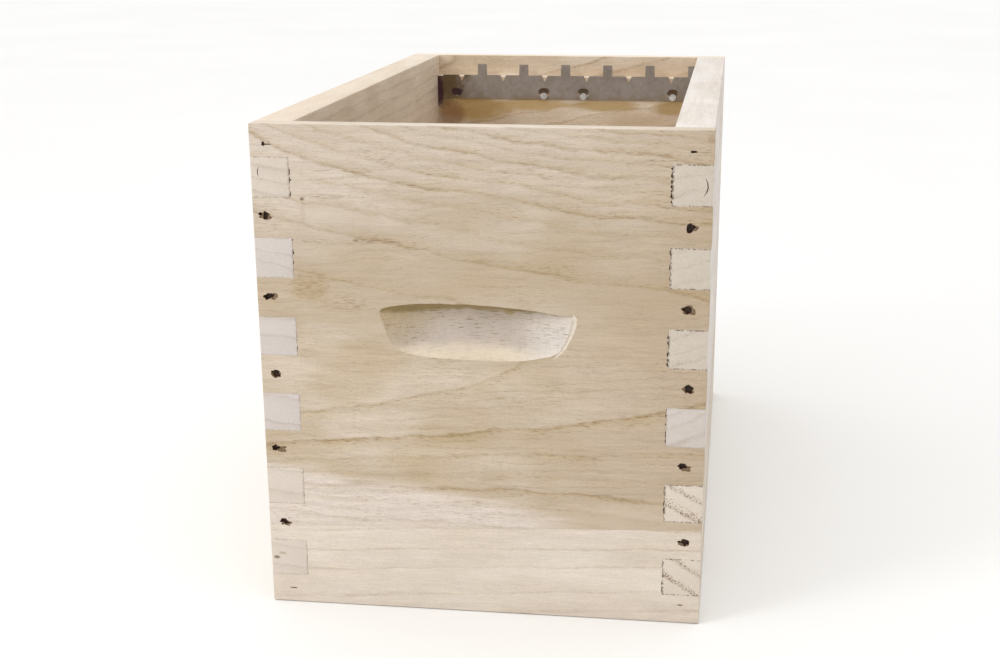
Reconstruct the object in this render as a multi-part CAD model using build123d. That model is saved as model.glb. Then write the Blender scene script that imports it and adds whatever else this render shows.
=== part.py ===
"""Six-frame wooden hive body, open at the top and the bottom.

Four board walls joined at the corners with finger joints. Each wall is edge-glued
from planks. Both end walls have a top rabbet for the frame lugs, a milled hand-hold
and a toothed metal frame spacer. Origin at the centre of the bottom face, +Z up,
the near end wall faces -Y. Millimetres.
"""
import os
from math import sqrt

from build123d import *

# ---------------------------------------------------------------- driving dimensions
LENGTH = 500.0            # outside, along Y
WIDTH = 280.0             # outside, along X
HEIGHT = 314.0            # along Z
BOARD = 24.0              # thickness of all four walls
FINGER = 25.0             # finger height
TOP_FINGER = 20.0         # height of the end wall's first, narrower finger
SHOULDER_GAP = 0.3        # clearance between a side finger and the end wall's shoulder

RABBET_RIM = 13.5         # wood left outside the rabbet
RABBET_FLOOR = 296.5      # height of the ledge

GLUE_Z = 58.8             # near end wall: glue line height at the middle
GLUE_SLOPE = 0.0363       # ... and its slope along X
BACK_GLUE_Z = 131.0       # far end wall: level glue line
LEFT_GLUE = (99.0, 249.0)     # left wall glue lines
RIGHT_GLUE = (99.0, 163.0)    # right wall glue lines

# hand-hold: cutter radius, and depth at the middle against height
SCOOP_R = 160.0
SCOOP_LOW = [(170.3, 0.0), (171.0, 2.6), (172.4, 4.9), (174.2, 7.1), (177.4, 8.9), (184.0, 10.25), (192.0, 11.3), (199.5, 12.0)]
SCOOP_HIGH = [(199.5, 12.0), (202.4, 10.6), (204.4, 7.6), (205.4, 3.4), (205.6, 0.0)]

# round nails through the end walls' full fingers
NAIL_R = 1.4
NAIL_HEAD_R = 2.9
NAIL_HEAD_T = 1.2
NAIL_LEN = 60.0
NAIL_SINK = 2.6
NAIL_CLEAR = 0.05
FRONT_LEFT = [(-132.4, 257.8), (-131.9, 206.9), (-130.9, 156.8), (-131.6, 106.6), (-130.2, 56.3)]
FRONT_RIGHT = [(127.3, 256.4), (127.2, 206.3), (128.9, 156.6), (127.4, 106.0), (128.6, 55.6)]
BACK_LEFT = [(-128.6, 257.0), (-129.4, 206.2), (-128.0, 157.0), (-129.0, 106.8), (-128.8, 56.0)]
BACK_RIGHT = [(130.2, 256.6), (129.0, 207.0), (129.8, 156.2), (130.4, 106.2), (129.4, 57.0)]

# side-driven nails, in the top and bottom fingers of each side wall
SIDE_NAIL_Z = (284.2, 30.5)
SIDE_NAIL_INSET = 7.0     # from the end wall's outer face
SIDE_NAIL_LEN = 50.0

# T-head brads, in the end walls' narrow top and bottom fingers
BRAD_HEAD_W, BRAD_HEAD_H, BRAD_HEAD_T = 5.0, 1.6, 1.1
BRAD_W, BRAD_H, BRAD_LEN = 1.6, 1.4, 45.0
BRAD_SINK = 1.2
BRADS_FRONT = [(-129.9, 301.6), (128.0, 301.4), (-126.2, 9.6), (127.8, 12.4)]
BRADS_BACK = [(-128.4, 302.0), (129.2, 301.2), (-128.6, 10.2), (127.6, 9.8)]

# frame spacer, cut from toothed sheet
SHEET = 0.8
SPACER_X0, SPACER_X1 = -110.7, 115.5     # at the far wall; the near one is the same turned round
SPACER_Z0 = 276.5
SPACER_SHOULDER = 297.5
SPACER_TIP = 307.0
PITCH = 37.5
TOOTH_W = 8.5
NOTCH_W, NOTCH_D = 5.0, 5.0
SLOT_X = (-98.0, -19.4, 16.0, 95.4)      # punched fixing slots
SLOT_W, SLOT_H, SLOT_Z = 10.5, 8.0, 282.5
CLOUT_X = (-19.4, 16.0, 95.4)            # the slot nearest the cut end has no nail
CLOUT_R, CLOUT_HEAD_R, CLOUT_HEAD_T, CLOUT_LEN = 1.1, 3.0, 1.3, 15.0

HX, HY = WIDTH / 2, LENGTH / 2
INX, INY = HX - BOARD, HY - BOARD
BIG = 1000.0


def block(x0, x1, y0, y1, z0, z1):
    return Pos((x0 + x1) / 2, (y0 + y1) / 2, (z0 + z1) / 2) * Box(x1 - x0, y1 - y0, z1 - z0)


def side_finger_spans():
    spans, top = [], HEIGHT - TOP_FINGER
    while top > 0:
        spans.append((max(top - FINGER, 0.0), top))
        top -= 2 * FINGER
    return spans


def half(obj, above, z_at_0, slope=0.0):
    """The part of obj above or below the plane z = z_at_0 + slope * x."""
    zl, zr = z_at_0 - slope * BIG, z_at_0 + slope * BIG
    edge = BIG if above else -BIG
    pts = [(-BIG, zl), (BIG, zr), (BIG, edge), (-BIG, edge)]
    face = make_face(Polyline(*[(x, 0, z) for x, z in pts], close=True))
    return obj & Pos(0, BIG, 0) * extrude(face, amount=2 * BIG, dir=(0, -1, 0))


def scoop_cutter():
    """Body of revolution about a vertical axis in front of the near end wall."""
    deepest = 12.0
    r = lambda depth: SCOOP_R - (deepest - depth)
    low = [(r(d), 0, z) for z, d in SCOOP_LOW]
    high = [(r(d), 0, z) for z, d in SCOOP_HIGH]
    wire = Wire([Edge.make_spline([Vector(*p) for p in low]), Edge.make_spline([Vector(*p) for p in high]),
                 Edge.make_line(high[-1], (0, 0, high[-1][2])),
                 Edge.make_line((0, 0, high[-1][2]), (0, 0, low[0][2])),
                 Edge.make_line((0, 0, low[0][2]), low[0])])
    body = revolve(Face(wire), axis=Axis.Z, revolution_arc=360)
    return Pos(0, -HY + deepest - SCOOP_R, 0) * body


def nail(x, y, z, direction, length=NAIL_LEN, r=NAIL_R, head_r=NAIL_HEAD_R, head_t=NAIL_HEAD_T):
    """Round nail; (x, y, z) is the middle of the head's top, direction the way it is driven."""
    shank = Pos(0, 0, head_t + (length - 5) / 2) * Cylinder(r, length - 5)
    tip = Pos(0, 0, head_t + length - 5 + 2.5) * Cone(r, 0.25, 5)
    head = Pos(0, 0, head_t / 2) * Cylinder(head_r, head_t)
    return Plane(origin=(x, y, z), z_dir=direction) * (head + shank + tip)


def nail_hole(x, y, z, direction, sink, length=NAIL_LEN, r=NAIL_R, head_r=NAIL_HEAD_R, head_t=NAIL_HEAD_T):
    shank = Pos(0, 0, head_t + length / 2) * Cylinder(r + NAIL_CLEAR, length)
    mouth = Pos(0, 0, (head_t - sink - 2) / 2) * Cylinder(head_r + 0.15, head_t + sink + 2)
    return Plane(origin=(x, y, z), z_dir=direction) * (shank + mouth)


def brad(x, z, s):
    """T-head brad driven along s*Y from the end wall's face at -s*HY."""
    y0 = -s * (HY - BRAD_SINK)
    a, b = y0, y0 + s * BRAD_HEAD_T
    head = block(x - BRAD_HEAD_W / 2, x + BRAD_HEAD_W / 2, min(a, b), max(a, b), z - BRAD_HEAD_H / 2, z + BRAD_HEAD_H / 2)
    c, d = b, y0 + s * BRAD_LEN
    shank = block(x - BRAD_W / 2, x + BRAD_W / 2, min(c, d), max(c, d), z - BRAD_H / 2, z + BRAD_H / 2)
    tip = chamfer(shank.edges().filter_by(Axis.X).sort_by(Axis.Y)[-2:] if s > 0 else shank.edges().filter_by(Axis.X).sort_by(Axis.Y)[:2], length=0.6)
    return head + tip


def brad_hole(x, z, s):
    g = NAIL_CLEAR
    y0 = -s * (HY - BRAD_SINK)
    a, b = -s * (HY + 2), y0 + s * BRAD_HEAD_T
    mouth = block(x - BRAD_HEAD_W / 2 - g, x + BRAD_HEAD_W / 2 + g, min(a, b), max(a, b), z - BRAD_HEAD_H / 2 - g, z + BRAD_HEAD_H / 2 + g)
    c, d = y0, y0 + s * BRAD_LEN
    shank = block(x - BRAD_W / 2 - g, x + BRAD_W / 2 + g, min(c, d), max(c, d), z - BRAD_H / 2 - g, z + BRAD_H / 2 + g)
    return mouth + shank


def spacer():
    """Toothed sheet at the far wall."""
    pts = [(SPACER_X0, SPACER_Z0), (SPACER_X0, SPACER_SHOULDER)]
    marks = []
    k = -3
    while k <= 3:
        if k < 3:
            c = (k + 0.5) * PITCH
            marks.append((c, "notch"))
        marks.append((k * PITCH, "tooth"))
        k += 1
    for c, kind in sorted(marks):
        if kind == "tooth" and c - TOOTH_W / 2 > SPACER_X0:
            right = min(c + TOOTH_W / 2, SPACER_X1)
            pts += [(c - TOOTH_W / 2, SPACER_SHOULDER), (c - TOOTH_W / 2 + 0.3, SPACER_TIP), (right - (0.3 if right < SPACER_X1 else 0), SPACER_TIP)]
            if right < SPACER_X1:
                pts.append((right, SPACER_SHOULDER))
        elif kind == "notch":
            pts += [(c - NOTCH_W / 2, SPACER_SHOULDER), (c - 0.6, SPACER_SHOULDER - NOTCH_D), (c + 0.6, SPACER_SHOULDER - NOTCH_D), (c + NOTCH_W / 2, SPACER_SHOULDER)]
    pts.append((SPACER_X1, SPACER_Z0))
    face = make_face(Polyline(*[(x, INY, z) for x, z in pts], close=True))
    plate = extrude(face, amount=SHEET, dir=(0, -1, 0))
    for x in SLOT_X:
        half_w = (SLOT_W - SLOT_H) / 2
        hole = block(x - half_w, x + half_w, INY - 3, INY + 3, SLOT_Z - SLOT_H / 2, SLOT_Z + SLOT_H / 2)
        for cx in (x - half_w, x + half_w):
            hole += Pos(cx, INY, SLOT_Z) * Rot(90, 0, 0) * Cylinder(SLOT_H / 2, 6)
        plate -= hole
    return plate


def save(name, shape):
    solids = shape.solids()
    out = solids[0] if len(solids) == 1 else Compound(children=list(solids))
    out.label = name
    export_step(out, f"parts/{name}.step")
    print(name, len(solids), round(sum(s.volume for s in solids)))


# ---------------------------------------------------------------- end walls
def end_wall(s, gap):
    """End wall whose outer face is at y = s * HY (s = -1 near, +1 far)."""
    y0, y1 = sorted((s * HY, s * INY))
    wall = block(-HX, HX, y0, y1, 0, HEIGHT)
    for z0, z1 in side_finger_spans():
        wall -= block(-HX - 1, -INX + gap, y0 - 1, y1 + 1, z0, z1)
        wall -= block(INX - gap, HX + 1, y0 - 1, y1 + 1, z0, z1)
    r0, r1 = sorted((s * (HY - RABBET_RIM), s * (INY - 1)))
    return wall - block(-HX - 1, HX + 1, r0, r1, RABBET_FLOOR, HEIGHT + 1)


front_fit, back_fit = end_wall(-1, 0.0), end_wall(1, 0.0)
front, back = end_wall(-1, SHOULDER_GAP), end_wall(1, SHOULDER_GAP)
cutter = scoop_cutter()
front -= cutter
back -= Rot(0, 0, 180) * cutter

# ---------------------------------------------------------------- side walls
left = block(-HX, -INX, -HY, HY, 0, HEIGHT) - front_fit - back_fit
right = block(INX, HX, -HY, HY, 0, HEIGHT) - front_fit - back_fit

# ---------------------------------------------------------------- fasteners and their holes
groups, holes = {}, []


def add_nails(name, places, direction, sink=NAIL_SINK, **size):
    solids = []
    for p in places:
        solids.append(nail(*p, direction, **size))
        holes.append(nail_hole(*p, direction, sink, **size))
    groups[name] = Compound(children=[s.solids()[0] for s in solids])


add_nails("nails_front_left", [(x, -HY + NAIL_SINK, z) for x, z in FRONT_LEFT], (0, 1, 0))
add_nails("nails_front_right", [(x, -HY + NAIL_SINK, z) for x, z in FRONT_RIGHT], (0, 1, 0))
add_nails("nails_back_left", [(x, HY - NAIL_SINK, z) for x, z in BACK_LEFT], (0, -1, 0))
add_nails("nails_back_right", [(x, HY - NAIL_SINK, z) for x, z in BACK_RIGHT], (0, -1, 0))
SIDE_Y = HY - SIDE_NAIL_INSET
add_nails("nails_left_side", [(-HX + NAIL_SINK, y, z) for y in (-SIDE_Y, SIDE_Y) for z in SIDE_NAIL_Z], (1, 0, 0), length=SIDE_NAIL_LEN)
add_nails("nails_right_side", [(HX - NAIL_SINK, y, z) for y in (-SIDE_Y, SIDE_Y) for z in SIDE_NAIL_Z], (-1, 0, 0), length=SIDE_NAIL_LEN)

clout_z = SLOT_Z - SLOT_H / 2 + CLOUT_R + NAIL_CLEAR
clout = dict(length=CLOUT_LEN, r=CLOUT_R, head_r=CLOUT_HEAD_R, head_t=CLOUT_HEAD_T)
for name, s in (("spacer_nails_back", 1), ("spacer_nails_front", -1)):
    solids = []
    for x in CLOUT_X:
        head_y = s * (INY - SHEET - CLOUT_HEAD_T)
        solids.append(nail(s * x, head_y, clout_z, (0, s, 0), **clout).solids()[0])
        a, b = sorted((s * (INY - 1), s * (INY - SHEET + CLOUT_LEN)))
        holes.append(Pos(s * x, (a + b) / 2, clout_z) * Rot(90, 0, 0) * Cylinder(CLOUT_R + NAIL_CLEAR, b - a))
    groups[name] = Compound(children=solids)

for name, places, s in (("brads_front", BRADS_FRONT, 1), ("brads_back", BRADS_BACK, -1)):
    groups[name] = Compound(children=[brad(x, z, s).solids()[0] for x, z in places])
    holes += [brad_hole(x, z, s) for x, z in places]


def drilled(shape):
    box = shape.bounding_box()
    for h in holes:
        hb = h.bounding_box()
        if (hb.min.X < box.max.X and hb.max.X > box.min.X and hb.min.Y < box.max.Y and hb.max.Y > box.min.Y
                and hb.min.Z < box.max.Z and hb.max.Z > box.min.Z):
            shape = shape - h
    return shape


# ---------------------------------------------------------------- planks
nodes = {
    "front_plank_upper": drilled(half(front, True, GLUE_Z, GLUE_SLOPE)),
    "front_plank_lower": drilled(half(front, False, GLUE_Z, GLUE_SLOPE)),
    "back_plank_upper": drilled(half(back, True, BACK_GLUE_Z)),
    "back_plank_lower": drilled(half(back, False, BACK_GLUE_Z)),
}
for side, wall, (g0, g1) in (("left", left, LEFT_GLUE), ("right", right, RIGHT_GLUE)):
    nodes[f"{side}_plank_top"] = drilled(half(wall, True, g1))
    nodes[f"{side}_plank_mid"] = drilled(half(half(wall, True, g0), False, g1))
    nodes[f"{side}_plank_low"] = drilled(half(wall, False, g0))

strip = spacer()
nodes["spacer_back"] = strip
nodes["spacer_front"] = Rot(0, 0, 180) * strip
nodes.update(groups)

for name, shape in nodes.items():
    save(name, shape)
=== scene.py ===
import math
import random

import bpy
import bmesh
from mathutils import Vector, Matrix, noise


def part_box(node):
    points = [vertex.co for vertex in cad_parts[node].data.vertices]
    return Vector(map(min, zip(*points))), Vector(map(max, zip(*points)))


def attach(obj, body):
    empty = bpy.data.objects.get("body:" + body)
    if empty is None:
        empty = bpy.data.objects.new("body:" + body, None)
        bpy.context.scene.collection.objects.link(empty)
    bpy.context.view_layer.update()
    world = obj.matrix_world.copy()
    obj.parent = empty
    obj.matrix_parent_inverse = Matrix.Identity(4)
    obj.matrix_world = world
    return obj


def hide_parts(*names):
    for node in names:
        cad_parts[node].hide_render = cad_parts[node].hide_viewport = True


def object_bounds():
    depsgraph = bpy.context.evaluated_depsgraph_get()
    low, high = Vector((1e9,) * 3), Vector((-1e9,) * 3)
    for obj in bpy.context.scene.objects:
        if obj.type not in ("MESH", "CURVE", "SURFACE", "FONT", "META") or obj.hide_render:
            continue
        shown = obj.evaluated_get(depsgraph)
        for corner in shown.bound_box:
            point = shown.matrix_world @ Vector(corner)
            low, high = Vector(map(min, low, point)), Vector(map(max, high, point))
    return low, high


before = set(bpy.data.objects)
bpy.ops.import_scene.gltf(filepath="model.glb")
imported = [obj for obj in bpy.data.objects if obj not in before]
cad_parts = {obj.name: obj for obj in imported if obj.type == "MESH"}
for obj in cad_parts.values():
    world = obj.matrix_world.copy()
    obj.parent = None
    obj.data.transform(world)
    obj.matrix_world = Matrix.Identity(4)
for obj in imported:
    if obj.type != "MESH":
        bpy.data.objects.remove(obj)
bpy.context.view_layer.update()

scene = bpy.context.scene
MM = 0.001

# ------------------------------------------------------------------ frame sizes (mm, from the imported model)
lo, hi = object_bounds()
HX, HY, HT = hi[0] / MM, hi[1] / MM, hi[2] / MM
lp_lo, lp_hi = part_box("left_plank_mid")
BOARD = (lp_hi[0] - lp_lo[0]) / MM
INX, INY = HX - BOARD, HY - BOARD
sp_lo, sp_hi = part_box("spacer_back")
CLEAR = 0.3
SEAM = 0.1  # what the eye sees of the clearance once the fibres have swollen shut
RIM = 13.5
LEDGE = 296.5
END_FINGERS = [(HT - 20.0, HT)] + [(HT - 20.0 - 50.0 * k - 50.0, HT - 20.0 - 50.0 * k - 25.0) for k in range(5)] + [(0.0, HT - 295.0)]
SIDE_FINGERS = [(HT - 45.0 - 50.0 * k, HT - 20.0 - 50.0 * k) for k in range(6)]
GLUE_Z, GLUE_SLOPE = 58.8, 0.0363
BACK_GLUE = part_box("back_plank_lower")[1][2] / MM
LEFT_GLUE = (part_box("left_plank_low")[1][2] / MM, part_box("left_plank_mid")[1][2] / MM)
RIGHT_GLUE = (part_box("right_plank_low")[1][2] / MM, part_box("right_plank_mid")[1][2] / MM)

FRONT_LEFT = [(-132.4, 257.8), (-131.9, 206.9), (-130.9, 156.8), (-131.6, 106.6), (-130.2, 56.3)]
FRONT_RIGHT = [(127.3, 256.4), (127.2, 206.3), (128.9, 156.6), (127.4, 106.0), (128.6, 55.6)]
BACK_LEFT = [(-128.6, 257.0), (-129.4, 206.2), (-128.0, 157.0), (-129.0, 106.8), (-128.8, 56.0)]
BACK_RIGHT = [(130.2, 256.6), (129.0, 207.0), (129.8, 156.2), (130.4, 106.2), (129.4, 57.0)]
BRADS_FRONT = [(-129.9, 301.6), (128.0, 301.4), (-126.2, 9.6), (127.8, 12.4)]
BRADS_BACK = [(-128.4, 302.0), (129.2, 301.2), (-128.6, 10.2), (127.6, 9.8)]
SIDE_NAILS = [(y, z) for y in (-(HY - 7.0), HY - 7.0) for z in (284.2, 30.5)]


def lin(rgb):
    out = []
    for c in rgb:
        c = c / 255.0
        out.append(c / 12.92 if c <= 0.04045 else ((c + 0.055) / 1.055) ** 2.4)
    return out


# ------------------------------------------------------------------ node helpers
class Nodes:
    def __init__(self, name):
        self.mat = bpy.data.materials.new(name)
        self.mat.use_nodes = True
        self.t = self.mat.node_tree
        self.t.nodes.clear()
        self.out = self.t.nodes.new("ShaderNodeOutputMaterial")
        self.bsdf = self.t.nodes.new("ShaderNodeBsdfPrincipled")
        self.t.links.new(self.bsdf.outputs[0], self.out.inputs[0])

    def put(self, sock, v):
        if isinstance(v, bpy.types.NodeSocket):
            self.t.links.new(v, sock)
        elif isinstance(v, (list, tuple)) and len(v) == 3 and sock.type == "RGBA":
            sock.default_value = (*v, 1.0)
        else:
            sock.default_value = v

    def m(self, op, a, b=None, c=None, clamp=False):
        n = self.t.nodes.new("ShaderNodeMath")
        n.operation = op
        n.use_clamp = clamp
        for i, v in enumerate((a, b, c)):
            if v is not None:
                self.put(n.inputs[i], v)
        return n.outputs[0]

    def add(self, a, b): return self.m("ADD", a, b)
    def sub(self, a, b): return self.m("SUBTRACT", a, b)
    def mul(self, a, b): return self.m("MULTIPLY", a, b)

    def xyz(self, v):
        n = self.t.nodes.new("ShaderNodeSeparateXYZ")
        self.put(n.inputs[0], v)
        return n.outputs[0], n.outputs[1], n.outputs[2]

    def vec(self, x, y, z):
        n = self.t.nodes.new("ShaderNodeCombineXYZ")
        for i, v in enumerate((x, y, z)):
            self.put(n.inputs[i], v)
        return n.outputs[0]

    def noise(self, vec, scale=1.0, detail=2.0, rough=0.5, dist=0.0, w=None):
        n = self.t.nodes.new("ShaderNodeTexNoise")
        n.noise_dimensions = "4D" if w is not None else "3D"
        self.put(n.inputs["Vector"], vec)
        if w is not None:
            n.inputs["W"].default_value = w
        n.inputs["Scale"].default_value = scale
        n.inputs["Detail"].default_value = detail
        n.inputs["Roughness"].default_value = rough
        n.inputs["Distortion"].default_value = dist
        return n.outputs["Fac"]

    def voronoi(self, vec, scale=1.0, feature="F1", w=None):
        n = self.t.nodes.new("ShaderNodeTexVoronoi")
        n.voronoi_dimensions = "3D"
        n.feature = feature
        self.put(n.inputs["Vector"], vec)
        n.inputs["Scale"].default_value = scale
        return n.outputs

    def ramp(self, fac, stops, interp="LINEAR"):
        n = self.t.nodes.new("ShaderNodeValToRGB")
        n.color_ramp.interpolation = interp
        r = n.color_ramp.elements
        while len(r) > 1:
            r.remove(r[-1])
        first = True
        for pos, val in stops:
            e = r[0] if first else r.new(min(max(pos, 0.0), 1.0))
            e.position = min(max(pos, 0.0), 1.0)
            first = False
            e.color = (val, val, val, 1.0) if isinstance(val, (int, float)) else (*val, 1.0)
        self.put(n.inputs[0], fac)
        return n.outputs[0]

    def rng(self, v, a, b, c=0.0, d=1.0, smooth=False):
        n = self.t.nodes.new("ShaderNodeMapRange")
        n.interpolation_type = "SMOOTHSTEP" if smooth else "LINEAR"
        n.clamp = True
        self.put(n.inputs[0], v)
        for i, x in enumerate((a, b, c, d)):
            self.put(n.inputs[i + 1], x)
        return n.outputs[0]

    def mix(self, fac, a, b, mode="MIX"):
        n = self.t.nodes.new("ShaderNodeMix")
        n.data_type = "RGBA"
        n.blend_type = mode
        n.clamp_factor = True
        self.put(n.inputs[0], fac)
        self.put(n.inputs[6], a)
        self.put(n.inputs[7], b)
        return n.outputs[2]

    def bump(self, height, strength, dist, normal=None):
        n = self.t.nodes.new("ShaderNodeBump")
        n.inputs["Strength"].default_value = strength
        n.inputs["Distance"].default_value = dist
        self.put(n.inputs["Height"], height)
        if normal is not None:
            self.put(n.inputs["Normal"], normal)
        return n.outputs[0]

    def coords(self):
        tc = self.t.nodes.new("ShaderNodeTexCoord")
        n = self.t.nodes.new("ShaderNodeVectorMath")
        n.operation = "SCALE"
        self.put(n.inputs[0], tc.outputs["Object"])
        n.inputs["Scale"].default_value = 1000.0
        return n.outputs[0]

    def normal(self):
        g = self.t.nodes.new("ShaderNodeNewGeometry")
        return g.outputs["True Normal"]

    def attr(self, name):
        a = self.t.nodes.new("ShaderNodeAttribute")
        a.attribute_name = name
        return a.outputs["Fac"]


def pair(k, c):
    n = k.t.nodes.new("ShaderNodeSeparateColor")
    k.put(n.inputs[0], c)
    return n.outputs[0], n.outputs[1]


def wood(name, along, seed, light, mid, band, line, end, rings=None, spacing=9.0, pith=180.0, slope=0.0, depth=75.0, tilt=0.09,
         fold=(0.0, 0.0), face=0.0, sign=1.0, warp=1.0, ring_gain=1.0, fibre=1.0, zones=(), specks=0.35, end_mix=0.9, rough=0.62,
         blotch=(0.40, 0.60), flat=False, spots=(), outline=0.0, minor=0.0, porous=1.0, top=0.0, spots_y=None):
    """Pale ring-porous timber cut from a log whose pith is a line in space. along is the grain axis, 'X' or 'Y'.
    rings: (distance from pith, strength of the pore line, strength of the halo, halo width in mm)."""
    k = Nodes(name)
    p = k.coords()
    x, y, z = k.xyz(p)
    u, w = (x, y) if along == "X" else (y, x)
    off = seed * 37.0
    q = k.vec(k.add(u, off * 3.1), k.add(z, off), k.add(w, off * 1.7))
    qu, qv, qw = k.xyz(q)

    def tex(au, av, detail=2.0, roughness=0.5):
        return k.noise(k.vec(k.mul(qu, 1 / au), k.mul(qv, 1 / av), k.mul(qw, 1 / av)), 1.0, detail, roughness)

    broad = k.sub(tex(105, 52), 0.5)
    middle = k.sub(tex(26, 13, 2.0, 0.55), 0.5)
    fine = k.sub(tex(4.5, 1.9, 2.0, 0.6), 0.5)
    wander = k.add(k.mul(broad, 15.0 * warp), k.add(k.mul(middle, 7.0 * warp), k.add(k.mul(fine, 2.2), k.mul(k.sub(tex(10, 4.5, 2.0, 0.6), 0.5), 4.0 * warp))))
    s = k.sub(k.sub(z, pith), k.mul(u, slope))
    s = k.add(s, k.mul(wander, 0.8))
    # rings close up towards one end, differently above and below the pith
    if fold != (0.0, 0.0):
        up = k.rng(s, -16.0, 16.0, fold[1], fold[0], smooth=True)
        stretch = k.m("MAXIMUM", k.add(k.mul(up, u), 1.0), 0.3)
    else:
        stretch = 1.0
    d = k.add(k.add(k.mul(u, tilt), depth), k.mul(k.sub(w, face), sign))
    d = k.add(d, k.mul(broad, 6.0 * warp))
    s2 = k.mul(k.mul(s, s), stretch)
    t = k.m("SQRT", k.m("MAXIMUM", k.add(s2, k.mul(d, d)), 0.01))
    if flat:
        # the lines keep their width on a flat-sawn face, however slanting the ring meets it
        steep = k.m("DIVIDE", k.mul(k.m("ABSOLUTE", s), stretch), t)
        inv = k.m("DIVIDE", 1.0, k.m("MAXIMUM", steep, 0.10))
    else:
        inv = 1.0
    strength = k.rng(tex(34, 20, 1.0), 0.36, 0.62, 0.45, 1.0)
    if rings:
        lines = None
        for ti, core, soft, width in rings:
            e = k.m("MULTIPLY_ADD", k.mul(k.sub(t, ti), inv), 0.05, 0.2)
            P = lambda mm: 0.2 + mm * 0.05
            one = k.ramp(e, [(P(-1.6), (0, 0, 0)), (P(-0.5), (core * 0.7, soft * 0.7, 0)), (P(0.2), (core, soft, 0)), (P(0.9), (core * 0.55, soft * 0.9, 0)),
                             (P(1.8), (0, soft * 0.75, 0)), (P(width * 0.55), (0, soft * 0.4, 0)), (P(width), (0, 0, 0))])
            lines = one if lines is None else k.mix(1.0, lines, one, "LIGHTEN")
        core, halo = pair(k, lines)
        if minor:
            e = k.m("FRACT", k.mul(k.add(s, k.mul(d, 0.25)), 1 / 5.3))
            small = k.mul(k.ramp(e, [(0.0, 1.0), (0.10, 0.5), (0.35, 0.0), (0.85, 0.0), (1.0, 1.0)]), k.mul(k.rng(tex(46, 15, 1.0), 0.42, 0.60), minor))
            core = k.m("MAXIMUM", core, small)
            halo = k.m("MAXIMUM", halo, k.mul(small, 0.6))
    else:
        vary = k.add(t, k.mul(k.sub(k.noise(k.vec(k.mul(t, 1 / 17.0), seed, 0.0), 1.0, 1.0, 0.5), 0.5), spacing * 1.6))
        f = k.m("FRACT", k.mul(vary, 1 / spacing))
        a = min(0.9 / spacing, 0.2)
        both = k.ramp(f, [(0.0, (0.9, 0.9, 0)), (a * 0.6, (0.6, 0.8, 0)), (a * 1.6, (0.1, 0.5, 0)), (0.5, (0, 0.15, 0)), (0.8, (0, 0, 0)), (1 - a, (0, 0, 0)), (1.0, (0.9, 0.9, 0))])
        core, halo = pair(k, both)
    core = k.mul(k.mul(core, strength), ring_gain)
    halo = k.mul(k.mul(halo, strength), ring_gain)
    nx, ny, nz = k.xyz(k.normal())
    endm = k.rng(k.m("ABSOLUTE", nx if along == "X" else ny), 0.62, 0.86)
    if along == "Y":
        # the planed long faces show their rings more softly than the sawn ends
        plane = k.rng(endm, 0.0, 1.0, 0.55, 1.0)
        core, halo = k.mul(core, plane), k.mul(halo, plane)
    # long fibres, short vessel dashes, grit
    fib = tex(13, 0.85, 2.0, 0.6)
    fib2 = tex(46, 3.0, 2.0, 0.5)
    dash = tex(4.6, 0.62, 1.0, 0.5)
    grit = tex(1.5, 0.8, 1.0, 0.5)
    tone = tex(130, 30, 3.0, 0.55)
    warmth = tex(60, 38, 2.0, 0.5)
    col = k.mix(k.rng(tone, *blotch, smooth=True), light, mid)
    col = k.mix(k.rng(warmth, 0.40, 0.66, 0.0, 0.35, smooth=True), col, band)
    for au, av, c0, soft, tint, amount, *limit in zones:
        # half-plane au*u + av*z > c0 takes a tint
        e = k.add(k.add(k.mul(u, au), k.mul(z, av)), k.add(k.mul(middle, 6.0), k.mul(k.sub(fib2, 0.5), 9.0)))
        part = k.mul(k.rng(e, c0 - soft, c0 + soft, smooth=True), amount)
        if limit:
            # sapwood: the rings show less in it
            part = k.mul(part, k.rng(u, limit[0][1], limit[0][0], smooth=True))
            calm = k.m("MULTIPLY_ADD", part, -0.55, 1.0)
            core, halo = k.mul(core, calm), k.mul(halo, calm)
        col = k.mix(part, col, tint)
    fuzz = k.rng(k.add(k.mul(dash, 0.6), k.mul(fib, 0.4)), 0.36, 0.62, 0.30, 1.25)
    col = k.mix(k.mul(k.mul(halo, k.rng(fib, 0.3, 0.66, 0.35, 1.1)), 0.62), col, band)
    col = k.mix(k.mul(k.mul(core, fuzz), 0.78), col, line)
    streak = k.add(k.mul(k.rng(fib, 0.28, 0.72, -1.0, 1.0), 0.075 * fibre), k.mul(k.rng(fib2, 0.3, 0.7, -1.0, 1.0), 0.045 * fibre))
    streak = k.add(streak, k.mul(k.rng(grit, 0.28, 0.72, -1.0, 1.0), 0.055 * fibre))
    n = k.t.nodes.new("ShaderNodeVectorMath")
    n.operation = "SCALE"
    k.put(n.inputs[0], col)
    k.put(n.inputs["Scale"], k.add(1.0, streak))
    col = n.outputs[0]
    bunch = k.rng(tex(30, 16, 1.0), 0.45, 0.66, 0.25, 1.0)
    some = k.add(k.mul(bunch, 0.26 * porous), k.mul(halo, 0.45))
    col = k.mix(k.mul(k.rng(dash, 0.57, 0.70), some), col, line)
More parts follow.
